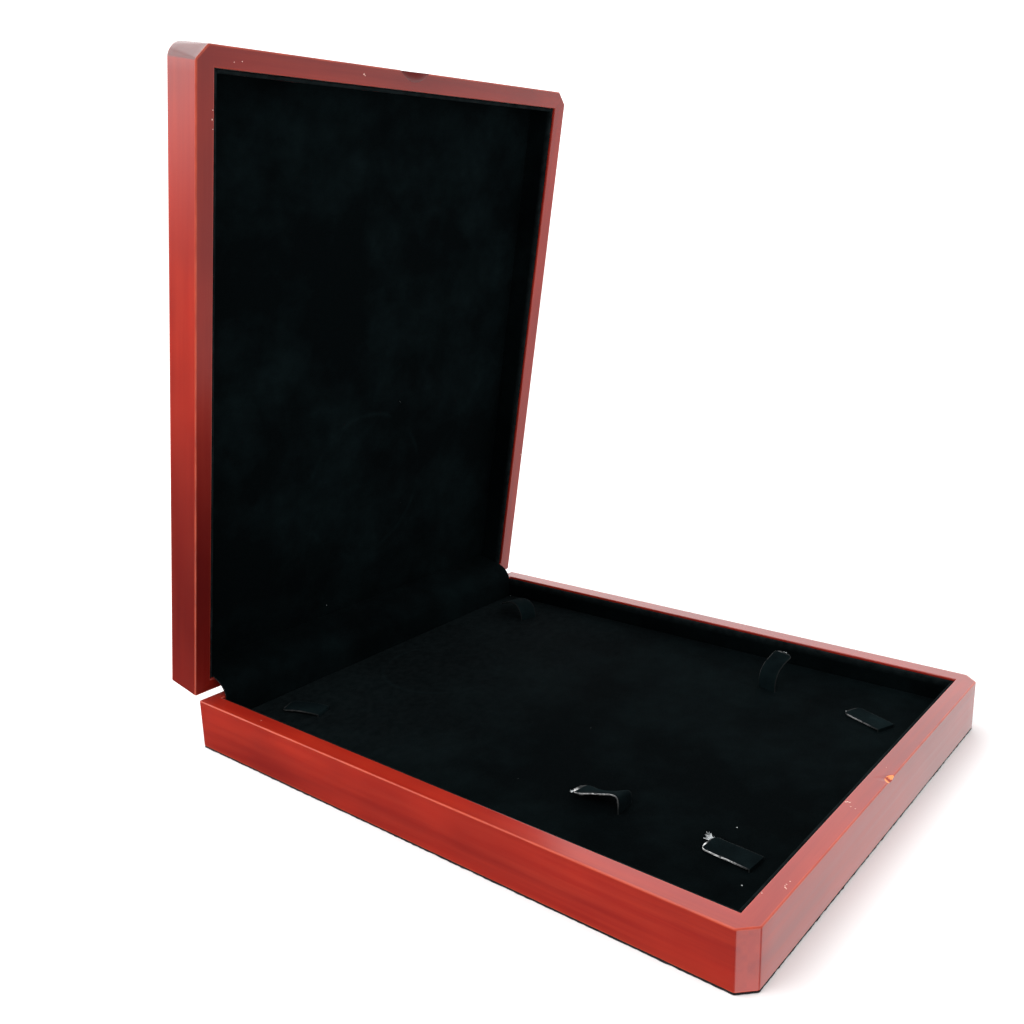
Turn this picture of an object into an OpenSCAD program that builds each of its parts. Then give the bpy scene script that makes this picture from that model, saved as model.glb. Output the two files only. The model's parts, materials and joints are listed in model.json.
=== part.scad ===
// Hinged wooden presentation case for a necklace set: a shallow velvet-lined base, a lid on two
// small butt hinges, a velvet strip that hides the hinges, and six velvet hold-down tabs.
// Millimetres. The origin is the centre of the underside, +X along the hinges, +Y to the hinge
// side, +Z up. The lid is drawn at its open angle.

/* [Case] */
// Width, along the hinge line
case_w = 200; // [160:1:300]
// Depth, from the front face to the hinge face
case_d = 243; // [220:1:320]
// Height of the base, felt included
base_h = 20.7; // [20:0.1:30]
// Height of the lid
lid_h = 16.3; // [15.5:0.1:26]
// Thickness of the front and side rails
wall_t = 7.2; // [6.5:0.1:10]
// Thickness of the two back rails, which carry the hinges
back_t = 5.1; // [5:0.1:7]
// Length of the cut across each front corner, measured along a side
corner_cut = 5; // [1:0.5:6]
// Rounding of the two hinge-side corners
back_corner_r = 2; // [1:0.5:3]

/* [Opening] */
// Angle of the lid, 0 when it is closed
open_angle = 79.6; // [0:0.1:90]
// Gap between the two rims when the lid is closed
closed_gap = 0.2; // [0.2:0.1:0.4]
// Distance of the hinge pin behind the hinge face
pin_behind = 1.75; // [1.75:0.05:2.5]

/* [Panels] */
// Thickness of the felt under the base
felt_t = 0.7; // [0.5:0.1:1.5]
// Thickness of the bottom panel
base_panel_t = 3; // [2:0.1:4]
// Thickness of the lid's top panel
lid_panel_t = 2.8; // [2:0.1:4]
// Width of the rebate that holds a panel
rebate_w = 2.6; // [1.5:0.1:3]

/* [Velvet lining] */
// Thickness of the card in a wall lining
card_t = 1; // [0.8:0.1:1.5]
// Thickness of the velvet
velvet_t = 0.6; // [0.4:0.1:0.8]
// Distance of the lining's top edge below the rim
lining_drop = 0.7; // [0.4:0.1:1.5]
// Thickness of the card behind the lid's velvet floor
floor_card_t = 0.5; // [0.4:0.1:1]
// Height of the pad's velvet surface above the underside
pad_top = 11.5; // [11:0.1:13]
// Thickness of the board under the pad
pad_board_t = 2.5; // [2:0.1:3]
// Half the gap left round a lining or pad
fit_gap = 0.1; // [0.1:0.05:0.3]

/* [Hold-down tabs] */
// Width of a tab
tab_w = 9; // [7:0.5:10]
// Thickness of a tab
tab_t = 0.8; // [0.6:0.1:1]
// Width of the slit that a tab comes out of
slit_w = 1.4; // [1:0.1:1.6]
// Depth of the slit
slit_depth = 3; // [2:0.1:3.5]

/* [Hinges] */
// Distance of each hinge's middle from the case's middle
hinge_x = 55; // [35:1:65]
// Length of a hinge
hinge_len = 24; // [20:1:30]
// Number of knuckles, an odd number
knuckles = 5; // [3:2:7]
// Thickness of a leaf
leaf_t = 0.9; // [0.8:0.05:0.9]
// Distance of a leaf's free edge from the hinge face
leaf_reach = 3.6; // [3.4:0.1:3.8]
// Radius of the hinge pin
pin_r = 0.75; // [0.7:0.01:0.75]
// Radius of the knuckles
knuckle_r = 1.55; // [1.5:0.01:1.55]
// Distance of each screw from the hinge's middle
screw_x = 7.5; // [5:0.5:8]

/* [Thumb notches] */
// Radius of the scoop in the lid's front edge
lid_scoop_r = 10; // [8:0.5:12]
// Depth of the lid's scoop at the rim
lid_scoop_depth = 3.8; // [2:0.1:5]
// Radius of the ball that makes the small nick in the base's front edge
base_nick_r = 6; // [5:0.5:8]
// Distance of the ball's centre in front of the front face
base_nick_out = 1.5; // [0.5:0.1:2]
// Height of the ball's centre above the rim
base_nick_up = 4.9; // [4:0.1:5.5]

/* [Hidden] */

$fn = 48;
cut = 1;                      // how far a cutting shape runs past what it cuts
half_w = case_w / 2;
half_d = case_d / 2;
inner_x = half_w - wall_t;    // inner faces of the rails
inner_front = -half_d + wall_t;
inner_back = half_d - back_t;
lining_t = card_t + velvet_t;
lid_rim_z = base_h + closed_gap;
lid_top_z = lid_rim_z + lid_h;
panel_top_z = felt_t + base_panel_t;
lid_panel_z = lid_top_z - lid_panel_t;
floor_velvet_z = lid_panel_z - floor_card_t - velvet_t;

leaf_gap = 0.1;               // between the two leaves of a closed hinge
pin_y = half_d + pin_behind;
pin_z = lid_rim_z - leaf_t - leaf_gap / 2;
bore_r = pin_r + 0.05;        // running fit of the pin
knuckle_gap = 0.15;
pin_head_r = 1.1;
pin_head_t = 0.5;
mortise_gap = 0.3;            // round the lid's leaf, which drops into the base's mortise
knuckle_len = (hinge_len - (knuckles - 1) * knuckle_gap) / knuckles;

screw_r = 0.7;
screw_head_r = 1.3;
screw_head_t = 0.6;
screw_len = 5.5;
screw_slot_w = 0.35;
screw_slot_depth = 0.3;
screw_y = half_d - leaf_reach / 2;

// Where each tab's slit is, the way the tab runs from it, and its side view as a cubic curve
// of four points: distance along the pad, height above it.
tab_lift = 0.3;               // clear space under a flat tab
flat_tab = [[0, 0], [6, 0], [12, 0], [17.5, 0]];
low_tab = [[0, 0], [3, 0.9], [11, 0.9], [17, 0]];
folded_tab = [[0, 0], [-0.5, 9], [3, 1], [19, 0.6]];
arched_tab = [[0, 0], [0.4, 7.2], [9, 8.6], [19, 2.2]];
raised_tab = [[0, 0], [-0.3, 7], [3, 9.5], [10.4, 12.6]];
tab_steps = 12;

front_left_slit = [-58, -102, 86];
front_right_slit = [52.5, -101.2, 68];
middle_left_slit = [-54, -52, 92];
middle_right_slit = [60, -48.5, -16];
back_left_slit = [-65.2, 87.2, 110];
back_right_slit = [68, 85, 74];

// ---- outlines and placing --------------------------------------------------------------------

// Plan of the case: cut front corners, rounded hinge-side corners.
module case_outline() {
    arc_steps = 8;
    arc = [for (i = [0 : arc_steps]) back_corner_r * [cos(i * 90 / arc_steps), sin(i * 90 / arc_steps)]];
    corner = [half_w - back_corner_r, half_d - back_corner_r];
    right = [
        [half_w - corner_cut, -half_d],
        [half_w, -half_d + corner_cut],
        for (p = arc) corner + p
    ];
    polygon(concat(right, [for (i = [len(right) - 1 : -1 : 0]) [-right[i][0], right[i][1]]]));
}

// Plan of the space inside the rails, grown by a margin.
module inner_outline(grow = 0) {
    translate([-inner_x - grow, inner_front - grow])
        square([2 * (inner_x + grow), inner_back - inner_front + 2 * grow]);
}

// Turns what is drawn closed to the lid's open angle.
module opened() {
    translate([0, pin_y, pin_z])
        rotate([-open_angle, 0, 0])
            translate([0, -pin_y, -pin_z])
                children();
}

// Plans of the four mitred rails.
module front_plan() {
    polygon([[-half_w, -half_d], [half_w, -half_d], [inner_x, inner_front], [-inner_x, inner_front]]);
}

module back_plan() {
    polygon([[-half_w, half_d], [-inner_x, inner_back], [inner_x, inner_back], [half_w, half_d]]);
}

// side is -1 for left and 1 for right.
module side_plan(side) {
    polygon([
        [side * half_w, -half_d], [side * half_w, half_d],
        [side * inner_x, inner_back], [side * inner_x, inner_front]
    ]);
}

// One rail of the given plan, from z0 to z1, with the rebate for a panel between r0 and r1.
module rail(z0, z1, r0, r1) {
    difference() {
        translate([0, 0, z0])
            linear_extrude(z1 - z0)
                intersection() {
                    children();
                    case_outline();
                }
        translate([0, 0, r0])
            linear_extrude(r1 - r0)
                inner_outline(rebate_w);
    }
}

module base_rail() {
    rail(felt_t, base_h, felt_t - cut, panel_top_z) children();
}

module lid_rail() {
    rail(lid_rim_z, lid_top_z, lid_panel_z, lid_top_z + cut) children();
}

// ---- wooden frame ----------------------------------------------------------------------------

module base_front_rail() {
    color("firebrick")
        difference() {
            base_rail() front_plan();
            translate([0, -half_d - base_nick_out, base_h + base_nick_up])
                sphere(base_nick_r);
        }
}

module base_back_rail() {
    color("firebrick")
        difference() {
            base_rail() back_plan();
            for (side = [-1, 1])
                translate([side * hinge_x - hinge_len / 2 - mortise_gap, half_d - leaf_reach - mortise_gap,
                           pin_z - leaf_gap / 2 - leaf_t])
                    cube([hinge_len + 2 * mortise_gap, leaf_reach + mortise_gap + cut, 2 * leaf_t + cut]);
            hinge_base_screws_shape(screw_head_t);
        }
}

module base_side_rail(side) {
    color("firebrick") base_rail() side_plan(side);
}

module lid_front_rail() {
    color("firebrick")
        opened()
            difference() {
                lid_rail() front_plan();
                translate([0, -half_d - lid_scoop_r + lid_scoop_depth, lid_rim_z])
                    sphere(lid_scoop_r);
            }
}

module lid_back_rail() {
    color("firebrick")
        difference() {
            opened() lid_rail() back_plan();
            opened() hinge_lid_screws_shape(screw_head_t);
        }
}

module lid_side_rail(side) {
    color("firebrick") opened() lid_rail() side_plan(side);
}

module base_bottom_panel() {
    color("peru")
        translate([0, 0, felt_t])
            linear_extrude(base_panel_t)
                inner_outline(rebate_w);
}

module lid_top_panel() {
    color("brown")
        opened()
            translate([0, 0, lid_panel_z])
                linear_extrude(lid_panel_t)
                    inner_outline(rebate_w);
}

module base_felt() {
    color("black") linear_extrude(felt_t) case_outline();
}

// ---- wall linings ----------------------------------------------------------------------------

// The card of a wall lining, standing on z = 0 with its back at x = 0 and running along Y.
module lining_card(length, height) {
    translate([0, -length / 2, 0]) cube([card_t, length, height - velvet_t]);
}

// The velvet glued over that card's face and top edge.
module lining_velvet(length, height) {
    difference() {
        translate([0, -length / 2, 0]) cube([lining_t, length, height]);
        translate([-cut, -length / 2 - cut, -cut])
            cube([card_t + cut, length + 2 * cut, height - velvet_t + cut]);
    }
}

side_lining_len = inner_back - inner_front;
front_lining_len = 2 * (inner_x - lining_t);
base_lining_h = base_h - lining_drop - panel_top_z;
lid_lining_h = lid_panel_z - lid_rim_z - lining_drop;

// Stands a lining against a side rail: side is -1 for left and 1 for right.
module at_side(side, z) {
    translate([side * inner_x, (inner_front + inner_back) / 2, z])
        rotate([0, 0, side < 0 ? 0 : 180])
            children();
}

module at_front(z) {
    translate([0, inner_front, z])
        rotate([0, 0, 90])
            children();
}

// Hangs a lining from the lid's panel, upside down in the closed position.
module hung(side) {
    opened()
        translate([0, 0, lid_panel_z])
            mirror([0, 0, 1])
                at_side(side, 0)
                    children();
}

module hung_front() {
    opened()
        translate([0, 0, lid_panel_z])
            mirror([0, 0, 1])
                at_front(0)
                    children();
}

module base_side_lining_card(side) {
    color("dimgray") at_side(side, panel_top_z) lining_card(side_lining_len, base_lining_h);
}

module base_side_lining_velvet(side) {
    color("black") at_side(side, panel_top_z) lining_velvet(side_lining_len, base_lining_h);
}

module base_front_lining_card() {
    color("dimgray") at_front(panel_top_z) lining_card(front_lining_len, base_lining_h);
}

module base_front_lining_velvet() {
    color("black") at_front(panel_top_z) lining_velvet(front_lining_len, base_lining_h);
}

module lid_side_lining_card(side) {
    color("dimgray") hung(side) lining_card(side_lining_len, lid_lining_h);
}

module lid_side_lining_velvet(side) {
    color("black") hung(side) lining_velvet(side_lining_len, lid_lining_h);
}

module lid_front_lining_card() {
    color("dimgray") hung_front() lining_card(front_lining_len, lid_lining_h);
}

module lid_front_lining_velvet() {
    color("black") hung_front() lining_velvet(front_lining_len, lid_lining_h);
}

// ---- pad and floor ---------------------------------------------------------------------------

// A block that fits between the wall linings and the hinge cover, pulled in by a margin.
module lined_block(z0, z1, margin) {
    x = inner_x - lining_t - margin;
    y0 = inner_front + lining_t + margin;
    y1 = inner_back - velvet_t - margin;
    translate([-x, y0, z0]) cube([2 * x, y1 - y0, z1 - z0]);
}

module slits() {
    for (slit = [front_left_slit, front_right_slit, middle_left_slit,
                 middle_right_slit, back_left_slit, back_right_slit])
        translate([slit[0], slit[1], pad_top - slit_depth])
            rotate([0, 0, slit[2]])
                translate([-slit_w / 2, -tab_w / 2 - fit_gap, 0])
                    cube([slit_w, tab_w + 2 * fit_gap, slit_depth + cut]);
}

module base_pad_board() {
    color("peru")
        lined_block(panel_top_z, panel_top_z + pad_board_t, fit_gap + velvet_t);
}

module base_pad_foam() {
    color("lightgray")
        difference() {
            lined_block(panel_top_z + pad_board_t, pad_top - velvet_t, fit_gap + velvet_t);
            slits();
        }
}

module base_pad_velvet() {
    color("black")
        difference() {
            lined_block(panel_top_z, pad_top, fit_gap);
            lined_block(panel_top_z - cut, pad_top - velvet_t, fit_gap + velvet_t);
            slits();
        }
}

module lid_floor_card() {
    color("dimgray") opened() lined_block(lid_panel_z - floor_card_t, lid_panel_z, fit_gap);
}

module lid_floor_velvet() {
    color("black")
        opened()
            lined_block(floor_velvet_z, lid_panel_z - floor_card_t, fit_gap);
}

// ---- hold-down tabs --------------------------------------------------------------------------

function cubic(c, t) =
    pow(1 - t, 3) * c[0] + 3 * pow(1 - t, 2) * t * c[1] + 3 * (1 - t) * t * t * c[2] + pow(t, 3) * c[3];

function cubic_slope(c, t) =
    pow(1 - t, 2) * (c[1] - c[0]) + 2 * (1 - t) * t * (c[2] - c[1]) + t * t * (c[3] - c[2]);

function edge_point(c, t, away) =
    let (slope = cubic_slope(c, t), normal = [-slope[1], slope[0]] / norm(slope))
    cubic(c, t) + away * normal;

// One tab: a strip of even thickness along its curve, with a round root on the fold line.
module tab(slit, curve) {
    upper = [for (i = [0 : tab_steps]) edge_point(curve, i / tab_steps, tab_t / 2)];
    lower = [for (i = [tab_steps : -1 : 0]) edge_point(curve, i / tab_steps, -tab_t / 2)];
    color("black")
        translate([slit[0], slit[1], pad_top + tab_lift + tab_t / 2])
            rotate([0, 0, slit[2]])
                rotate([90, 0, 0]) {
                    linear_extrude(tab_w, center = true)
                        polygon(concat(upper, lower));
                    cylinder(h = tab_w, r = tab_t / 2, center = true);
                }
}

// ---- hinges ----------------------------------------------------------------------------------

// Every other knuckle of one hinge, from the first (0) or the second (1).
module knuckle_row(first) {
    for (i = [first : 2 : knuckles - 1])
        translate([-hinge_len / 2 + i * (knuckle_len + knuckle_gap), 0, 0])
            rotate([0, 90, 0])
                children();
}

// A leaf in its own frame: the pin along X at the origin, the plate towards -Y.
// up is 1 for the lid's leaf, which lies above the pin line, and -1 for the base's.
module leaf(first, up) {
    plate_z = up > 0 ? leaf_gap / 2 : -leaf_gap / 2 - leaf_t;
    far_y = -pin_behind - leaf_reach;
    difference() {
        union() {
            knuckle_row(first) cylinder(h = knuckle_len, r = knuckle_r);
            translate([-hinge_len / 2, far_y, plate_z]) cube([hinge_len, leaf_reach, leaf_t]);
            for (i = [first : 2 : knuckles - 1])
                translate([-hinge_len / 2 + i * (knuckle_len + knuckle_gap), -pin_behind - cut, plate_z])
                    cube([knuckle_len, pin_behind + cut, leaf_t]);
        }
        translate([-hinge_len / 2 - cut, 0, 0])
            rotate([0, 90, 0])
                cylinder(h = hinge_len + 2 * cut, r = bore_r);
        for (side = [-1, 1])
            translate([side * screw_x, -pin_behind - leaf_reach / 2, up > 0 ? leaf_gap / 2 : -leaf_gap / 2])
                mirror([0, 0, up > 0 ? 0 : 1])
                    screw_body(0);
    }
}

// A countersunk screw body with the head's face at z = 0, running up, its head raised by extra.
module screw_body(extra) {
    translate([0, 0, -extra]) cylinder(h = extra + 0.001, r = screw_head_r);
    cylinder(h = screw_head_t, r1 = screw_head_r, r2 = screw_r);
    cylinder(h = screw_len, r = screw_r);
}

module at_screws(up) {
    for (hinge = [-1, 1], side = [-1, 1])
        translate([hinge * hinge_x + side * screw_x, screw_y, pin_z + up * leaf_gap / 2])
            mirror([0, 0, up > 0 ? 0 : 1])
                children();
}

module hinge_base_screws_shape(extra) {
    at_screws(-1) screw_body(extra);
}

module hinge_lid_screws_shape(extra) {
    at_screws(1) screw_body(extra);
}

// A screw with a slotted head.
module screw() {
    difference() {
        screw_body(0);
        translate([-screw_head_r - cut, -screw_slot_w / 2, -cut])
            cube([2 * (screw_head_r + cut), screw_slot_w, screw_slot_depth + cut]);
    }
}

module hinge_base_screws() {
    color("goldenrod") at_screws(-1) screw();
}

module hinge_lid_screws() {
    color("goldenrod") opened() at_screws(1) screw();
}

module hinge_base_leaf(side) {
    color("gold") translate([side * hinge_x, pin_y, pin_z]) leaf(0, -1);
}

module hinge_lid_leaf(side) {
    color("gold") opened() translate([side * hinge_x, pin_y, pin_z]) leaf(1, 1);
}

module hinge_pin(side) {
    color("goldenrod")
        translate([side * hinge_x, pin_y, pin_z])
            rotate([0, 90, 0]) {
                cylinder(h = hinge_len + 0.2, r = pin_r, center = true);
                for (end = [-1, 1])
                    translate([0, 0, end * (hinge_len / 2 + 0.1 + pin_head_t / 2)])
                        cylinder(h = pin_head_t, r = pin_head_r, center = true);
            }
}

// ---- velvet strip over the hinges --------------------------------------------------------------

cover_w = 180;
cover_bulge = 0.7;            // 0 is a straight strip between the rims, 1 follows both walls
cover_steps = 8;

// A point of the closed lid, [y, z], turned to the open angle.
function opened_point(p) =
    let (d = p - [pin_y, pin_z])
    [pin_y + d[0] * cos(open_angle) + d[1] * sin(open_angle),
     pin_z - d[0] * sin(open_angle) + d[1] * cos(open_angle)];

// Side view of the strip's surface at a distance from the walls: up the base's back wall,
// across the gap between the rims, and along the lid's back wall.
function cover_line(away) =
    let (
        y = inner_back - away,
        from = [y, base_h],
        to = opened_point([y, lid_rim_z]),
        into_lid = opened_point([y, lid_rim_z + 1]) - to,
        reach = (to[0] - y) / into_lid[0],
        meet = to - reach * into_lid,
        middle = (from + to) / 2,
        bend = middle + cover_bulge * (meet - middle)
    )
    concat(
        [[y, panel_top_z]],
        [for (i = [0 : cover_steps])
            let (t = i / cover_steps)
            pow(1 - t, 2) * from + 2 * t * (1 - t) * bend + t * t * to],
        [opened_point([y, lid_panel_z - floor_card_t])]
    );

module hinge_cover() {
    face = cover_line(velvet_t);
    back = cover_line(0);
    color("black")
        rotate([90, 0, 90])
            linear_extrude(cover_w, center = true)
                polygon(concat(face, [for (i = [len(back) - 1 : -1 : 0]) back[i]]));
}

// ---- the case --------------------------------------------------------------------------------

base_front_rail();
base_back_rail();
base_side_rail(-1);  // base_left_rail
base_side_rail(1);  // base_right_rail
base_bottom_panel();
base_felt();
base_front_lining_card();
base_side_lining_card(-1);  // base_left_lining_card
base_side_lining_card(1);  // base_right_lining_card
base_front_lining_velvet();
base_side_lining_velvet(-1);  // base_left_lining_velvet
base_side_lining_velvet(1);  // base_right_lining_velvet
base_pad_board();
base_pad_foam();
base_pad_velvet();
tab(front_left_slit, flat_tab);  // tab_front_left
tab(front_right_slit, flat_tab);  // tab_front_right
tab(middle_left_slit, folded_tab);  // tab_middle_left
tab(middle_right_slit, raised_tab);  // tab_middle_right
tab(back_left_slit, low_tab);  // tab_back_left
tab(back_right_slit, arched_tab);  // tab_back_right
hinge_base_leaf(-1);  // left_hinge_base_leaf
hinge_base_leaf(1);  // right_hinge_base_leaf
hinge_lid_leaf(-1);  // left_hinge_lid_leaf
hinge_lid_leaf(1);  // right_hinge_lid_leaf
hinge_pin(-1);  // left_hinge_pin
hinge_pin(1);  // right_hinge_pin
hinge_base_screws();
hinge_lid_screws();
hinge_cover();
lid_front_rail();
lid_back_rail();
lid_side_rail(-1);  // lid_left_rail
lid_side_rail(1);  // lid_right_rail
lid_top_panel();
lid_front_lining_card();
lid_side_lining_card(-1);  // lid_left_lining_card
lid_side_lining_card(1);  // lid_right_lining_card
lid_front_lining_velvet();
lid_side_lining_velvet(-1);  // lid_left_lining_velvet
lid_side_lining_velvet(1);  // lid_right_lining_velvet
lid_floor_card();
lid_floor_velvet();
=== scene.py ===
"""Looks of a hinged, velvet-lined presentation case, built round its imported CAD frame, in metres.

Everything on the lid is first built as if the case were shut, and then turned to the lid's open
angle. The wooden rails, the panels, the felt and all the velvet are new pieces; the hinges,
their pins and their screws are the CAD's own.
"""
import json
import math
import random

import bmesh
import bpy
from mathutils import Matrix, Vector, noise
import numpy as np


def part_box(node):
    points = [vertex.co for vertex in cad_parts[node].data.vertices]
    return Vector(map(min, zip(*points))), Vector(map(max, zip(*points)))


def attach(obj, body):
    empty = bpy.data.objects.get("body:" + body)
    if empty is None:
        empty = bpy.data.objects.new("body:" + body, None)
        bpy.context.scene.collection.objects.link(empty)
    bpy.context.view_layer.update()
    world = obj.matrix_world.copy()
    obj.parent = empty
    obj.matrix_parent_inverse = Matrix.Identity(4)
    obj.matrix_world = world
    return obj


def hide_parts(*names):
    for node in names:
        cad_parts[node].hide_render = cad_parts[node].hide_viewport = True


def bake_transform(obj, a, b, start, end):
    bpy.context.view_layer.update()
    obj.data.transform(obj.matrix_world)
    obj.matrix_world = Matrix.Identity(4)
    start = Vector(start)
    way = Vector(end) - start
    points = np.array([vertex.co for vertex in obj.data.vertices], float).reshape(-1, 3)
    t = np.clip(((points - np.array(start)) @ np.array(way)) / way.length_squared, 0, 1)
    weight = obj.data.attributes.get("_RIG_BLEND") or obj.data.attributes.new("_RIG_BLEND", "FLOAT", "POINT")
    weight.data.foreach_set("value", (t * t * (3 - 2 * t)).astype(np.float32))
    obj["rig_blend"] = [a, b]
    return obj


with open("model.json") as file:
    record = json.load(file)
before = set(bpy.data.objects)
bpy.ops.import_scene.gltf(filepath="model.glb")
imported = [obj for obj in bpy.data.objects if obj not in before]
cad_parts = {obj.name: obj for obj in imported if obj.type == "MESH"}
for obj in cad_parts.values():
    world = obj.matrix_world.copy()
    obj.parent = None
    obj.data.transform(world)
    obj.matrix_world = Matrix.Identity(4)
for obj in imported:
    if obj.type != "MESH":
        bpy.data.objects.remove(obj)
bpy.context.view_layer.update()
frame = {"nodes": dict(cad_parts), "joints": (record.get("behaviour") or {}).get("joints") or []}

scene = bpy.context.scene
scene.view_settings.view_transform = "Standard"
MM = 0.001


# ---- the case's dimensions, all from the frame ---------------------------------------------------

hinge = next(joint for joint in frame["joints"] if joint["name"] == "lid_hinge")
PIN = Vector(hinge["pos_m"])
OPEN_ANGLE = math.radians(hinge["range_deg"][1])
OPENED = Matrix.Translation(PIN) @ Matrix.Rotation(-OPEN_ANGLE, 4, "X") @ Matrix.Translation(-PIN)
SHUT = OPENED.inverted()


def box_of(points):
    """Lowest and highest corner of some points."""
    points = list(points)
    return (Vector([min(p[i] for p in points) for i in range(3)]),
            Vector([max(p[i] for p in points) for i in range(3)]))


def shut_box(node):
    """Lowest and highest corner of a lid node with the lid shut."""
    return box_of(SHUT @ v.co for v in frame["nodes"][node].data.vertices)


FELT_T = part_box("base_felt")[1].z
HALF_W, HALF_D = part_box("base_felt")[1].xy
felt_points = [v.co for v in frame["nodes"]["base_felt"].data.vertices]
CORNER_CUT = HALF_W - max(p.x for p in felt_points if p.y < -HALF_D + 1e-5)

INNER_X = -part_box("base_left_rail")[1].x
INNER_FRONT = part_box("base_front_rail")[1].y
INNER_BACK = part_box("base_back_rail")[0].y
BASE_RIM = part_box("base_left_rail")[1].z
PANEL_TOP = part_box("base_bottom_panel")[1].z
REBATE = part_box("base_bottom_panel")[1].x - INNER_X
LID_RIM = shut_box("lid_left_rail")[0].z
LID_TOP = shut_box("lid_left_rail")[1].z
LID_PANEL = shut_box("lid_top_panel")[0].z
LINING_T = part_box("base_left_lining_velvet")[1].x + INNER_X
LINING_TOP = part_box("base_left_lining_velvet")[1].z
LID_LINING_TOP = shut_box("lid_left_lining_velvet")[0].z
PAD_LOW, PAD_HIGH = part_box("base_pad_velvet")
FLOOR_LOW, FLOOR_HIGH = shut_box("lid_floor_velvet")
COVER_WIDER = 0.9 * MM      # how far the hinge strip reaches past the CAD's, towards each side lining
COVER_HALF_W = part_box("hinge_cover")[1].x + COVER_WIDER
VELVET_T = FLOOR_HIGH.z - FLOOR_LOW.z

RIM_EDGE = 0.45 * MM        # rounding of the rims' outer edges
INNER_EDGE = 0.35 * MM      # rounding of the rims' inner edges
FOOT_EDGE = 0.5 * MM        # rounding of the base's lower edge
TOP_EDGE = 0.8 * MM         # rounding of the lid's upper edges
TOP_CORNER_FULLER = 1.5 * MM    # how much less the lid's corners are cut at its upper edge
BACK_ROUND = 0.8 * MM       # rounding of the upright edges on the hinge side
CORNER_EDGE = 1.5 * MM      # rounding of the upright edges of the cut corners
EDGE_STEPS = 5
CORNER_STEPS = 5
SIDE_STEPS = 6              # rings down a rail's outer face
EDGE_MARGIN = 0.15 * MM     # how far the paler colour of an eased edge, part wear and part painted highlight, runs onto the flat


# ---- building meshes -------------------------------------------------------------------------

def loft(bm, rings, around=True, along=False, caps=True):
    """Joins rings of points with faces. around closes each ring, along joins the last to the first."""
    rows = [[bm.verts.new(p) for p in ring] for ring in rings]
    count = len(rows[0])
    for r in range(len(rows) if along else len(rows) - 1):
        a, b = rows[r], rows[(r + 1) % len(rows)]
        for k in range(count if around else count - 1):
            bm.faces.new((a[k], a[(k + 1) % count], b[(k + 1) % count], b[k]))
    if caps and not along:
        bm.faces.new(list(reversed(rows[0])))
        bm.faces.new(rows[-1])
    return rows


def tidy(bm):
    """Merges doubled points, drops what that leaves without area and turns all faces outwards."""
    bmesh.ops.remove_doubles(bm, verts=bm.verts, dist=1e-7)
    bmesh.ops.dissolve_degenerate(bm, edges=bm.edges, dist=1e-7)
    bmesh.ops.recalc_face_normals(bm, faces=bm.faces)


def make_piece(name, bm, *materials, sharp_deg=35):
    """The bmesh as an object, smooth but for its sharp edges."""
    mesh = bpy.data.meshes.new(name)
    bm.to_mesh(mesh)
    bm.free()
    mesh.shade_smooth()
    mesh.set_sharp_from_angle(angle=math.radians(sharp_deg))
    for material in materials:
        mesh.materials.append(material)
    piece = bpy.data.objects.new(name, mesh)
    scene.collection.objects.link(piece)
    return piece


def place(piece, body, slot, *nodes):
    """The piece rides on a body and stands for some CAD nodes. slot is not used."""
    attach(piece, body)
    if nodes:
        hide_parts(*nodes)
    return piece


def use_modifier(piece, kind, **settings):
    """Adds a modifier and applies it."""
    modifier = piece.modifiers.new(kind.lower(), kind)
    for key, value in settings.items():
        setattr(modifier, key, value)
    bpy.context.view_layer.update()
    result = piece.evaluated_get(bpy.context.evaluated_depsgraph_get())
    mesh = bpy.data.meshes.new_from_object(result)
    piece.modifiers.clear()
    piece.data = mesh


def rough(point, scale, seed=0):
    """Smooth noise from -1 to 1, with one hill about every scale metres."""
    return noise.noise(Vector(point) / scale + Vector((seed * 7.3, seed * 3.1, seed * 5.7)))


# ---- materials -------------------------------------------------------------------------------

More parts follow.
